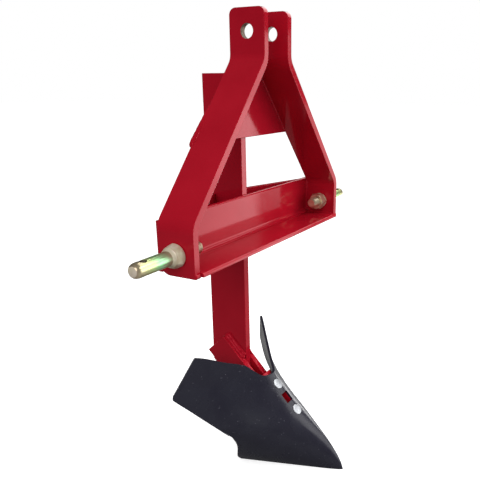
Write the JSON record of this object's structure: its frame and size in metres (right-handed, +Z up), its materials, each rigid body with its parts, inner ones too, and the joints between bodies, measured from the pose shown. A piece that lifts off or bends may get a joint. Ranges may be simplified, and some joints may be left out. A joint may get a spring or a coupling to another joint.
{
  "type": "lay-off plough",
  "caption": "Three-point-hitch lay-off plough: bent-bar mast with cross angle and hitch pins, upright flat shank, and a double-winged furrowing share bolted to a raked frog.",
  "frame": {"origin": "centre of the top-link hole, midway between the mast's ears", "axes": "+Z up, -Y the way the plough travels (towards the tractor), +X its left side"},
  "size_m": [0.674, 0.2838, 0.8],
  "materials": {
    "frame_paint": "gloss red powder coat",
    "share_paint": "satin navy-black paint",
    "bright_zinc": "bright zinc plate",
    "yellow_zinc": "yellow iridescent zinc plate"
  },
  "bodies": {
    "root": {"upper_plate": "frame_paint", "cross_angle": "frame_paint", "shank": "frame_paint", "rear_stay_left": "frame_paint", "rear_stay_right": "frame_paint", "mast_bar_left": "frame_paint", "mast_bar_right": "frame_paint", "frog_cheek_left": "frame_paint", "frog_cheek_right": "frame_paint", "frog_face": "frame_paint", "share": "share_paint", "plough_bolt_upper": "bright_zinc", "plough_bolt_lower": "bright_zinc", "plough_nut_upper": "bright_zinc", "plough_nut_lower": "bright_zinc", "hitch_pin_left": "yellow_zinc", "hitch_pin_right": "yellow_zinc", "stud_nut_left": "yellow_zinc", "stud_nut_right": "yellow_zinc", "lock_washer_left": "yellow_zinc", "lock_washer_right": "yellow_zinc"}
  },
  "joints": []
}
